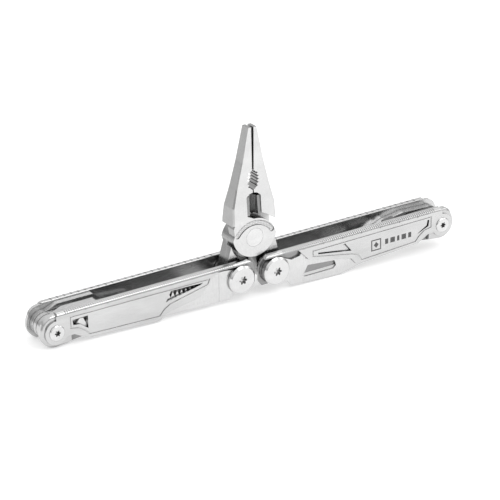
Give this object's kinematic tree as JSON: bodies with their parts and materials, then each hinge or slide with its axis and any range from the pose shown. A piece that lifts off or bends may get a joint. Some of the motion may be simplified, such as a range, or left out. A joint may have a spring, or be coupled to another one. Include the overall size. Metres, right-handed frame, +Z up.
{
  "type": "multi tool",
  "caption": "Folding pocket multi tool opened flat: needle-nose pliers between two folded steel handles that hold blades and drivers.",
  "frame": {"origin": "on the floor under the middle of the tool, halfway between the two handle ends", "axes": "+X along the right handle, -Y to the front, +Z up towards the pliers tips"},
  "size_m": [0.2056, 0.019, 0.074],
  "materials": {
    "handle_steel": "fine brushed stainless sheet, satin",
    "head_steel": "satin ground forged stainless",
    "fastener_steel": "turned stainless, polished bevel",
    "cutter_steel": "darker hardened steel",
    "bronze": "plain bronze washer",
    "blade_steel": "ground blade steel",
    "bit_steel": "dark hardened bit steel",
    "tool_steel": "ground tool steel"
  },
  "bodies": {
    "front_jaw": {"jaw_front": "head_steel", "jaw_rivet": "fastener_steel", "wire_cutter_front": "cutter_steel"},
    "rear_jaw": {"jaw_rear": "head_steel", "wire_cutter_rear": "cutter_steel"},
    "left_handle": {"handle_left": "handle_steel", "pivot_screw_left": "fastener_steel", "pivot_nut_left": "fastener_steel", "end_screw_left": "fastener_steel", "end_nut_left": "fastener_steel", "blade_washers_left": "bronze", "tool_washers_left": "bronze"},
    "right_handle": {"handle_right": "handle_steel", "pivot_screw_right": "fastener_steel", "pivot_nut_right": "fastener_steel", "end_screw_right": "fastener_steel", "end_nut_right": "fastener_steel", "blade_washers_right": "bronze", "tool_washers_right": "bronze"},
    "knife": {"knife_blade": "blade_steel"},
    "serrated_knife": {"serrated_blade": "blade_steel"},
    "saw": {"saw_blade": "blade_steel"},
    "file": {"file_blade": "blade_steel"},
    "bit_driver": {"bit_driver": "tool_steel"},
    "bit": {"double_ended_bit": "bit_steel"},
    "screwdriver": {"flat_screwdriver": "tool_steel"},
    "can_opener": {"can_opener": "tool_steel"},
    "scissors": {"scissors_base": "tool_steel", "scissors_rivet": "fastener_steel", "scissors_spring": "tool_steel"},
    "scissors_lever": {"scissors_lever": "tool_steel"},
    "small_driver": {"small_driver": "tool_steel"},
    "awl": {"awl": "tool_steel"}
  },
  "joints": [
    {"name": "jaw_pivot", "type": "hinge", "parent": "front_jaw", "child": "rear_jaw", "pos_m": [0, 0, 0.02581], "axis": [0, -1, 0], "range_deg": [-34, 1.2]},
    {"name": "left_handle_fold", "type": "hinge", "parent": "rear_jaw", "child": "left_handle", "pos_m": [-0.00866, 0, 0.00991], "axis": [0, 1, 0], "range_deg": [-80, 91.71]},
    {"name": "right_handle_fold", "type": "hinge", "parent": "front_jaw", "child": "right_handle", "pos_m": [0.00866, 0, 0.00991], "axis": [0, -1, 0], "range_deg": [-80, 88.29]},
    {"name": "knife_open", "type": "hinge", "parent": "right_handle", "child": "knife", "pos_m": [0.00866, 0, 0.00991], "axis": [0, 1, 0], "range_deg": [0, 90]},
    {"name": "serrated_open", "type": "hinge", "parent": "right_handle", "child": "serrated_knife", "pos_m": [0.00866, 0, 0.00991], "axis": [0, 1, 0], "range_deg": [0, 90]},
    {"name": "saw_open", "type": "hinge", "parent": "left_handle", "child": "saw", "pos_m": [-0.00866, 0, 0.00991], "axis": [0, -1, 0], "range_deg": [0, 90]},
    {"name": "file_open", "type": "hinge", "parent": "left_handle", "child": "file", "pos_m": [-0.00866, 0, 0.00991], "axis": [0, -1, 0], "range_deg": [0, 90]},
    {"name": "bit_driver_open", "type": "hinge", "parent": "left_handle", "child": "bit_driver", "pos_m": [-0.09601, 0, 0.0068], "axis": [0, -1, 0], "range_deg": [0, 180]},
    {"name": "bit_slide", "type": "slide", "parent": "bit_driver", "child": "bit", "axis": [0.9996, 0, 0.0299], "range_m": [0, 0.012]},
    {"name": "screwdriver_open", "type": "hinge", "parent": "left_handle", "child": "screwdriver", "pos_m": [-0.09601, 0, 0.0068], "axis": [0, -1, 0], "range_deg": [0, 180]},
    {"name": "can_opener_open", "type": "hinge", "parent": "left_handle", "child": "can_opener", "pos_m": [-0.09601, 0, 0.0068], "axis": [0, -1, 0], "range_deg": [0, 180]},
    {"name": "scissors_open", "type": "hinge", "parent": "right_handle", "child": "scissors", "pos_m": [0.09604, 0, 0.01202], "axis": [0, 1, 0], "range_deg": [0, 180]},
    {"name": "scissors_squeeze", "type": "hinge", "parent": "scissors", "child": "scissors_lever", "pos_m": [0.06865, 0, 0.0111], "axis": [0, 1, 0], "range_deg": [0, 12], "stiffness_Nm_per_rad": 0.02},
    {"name": "small_driver_open", "type": "hinge", "parent": "right_handle", "child": "small_driver", "pos_m": [0.09604, 0, 0.01202], "axis": [0, 1, 0], "range_deg": [0, 180]},
    {"name": "awl_open", "type": "hinge", "parent": "right_handle", "child": "awl", "pos_m": [0.09604, 0, 0.01202], "axis": [0, 1, 0], "range_deg": [0, 180]}
  ]
}
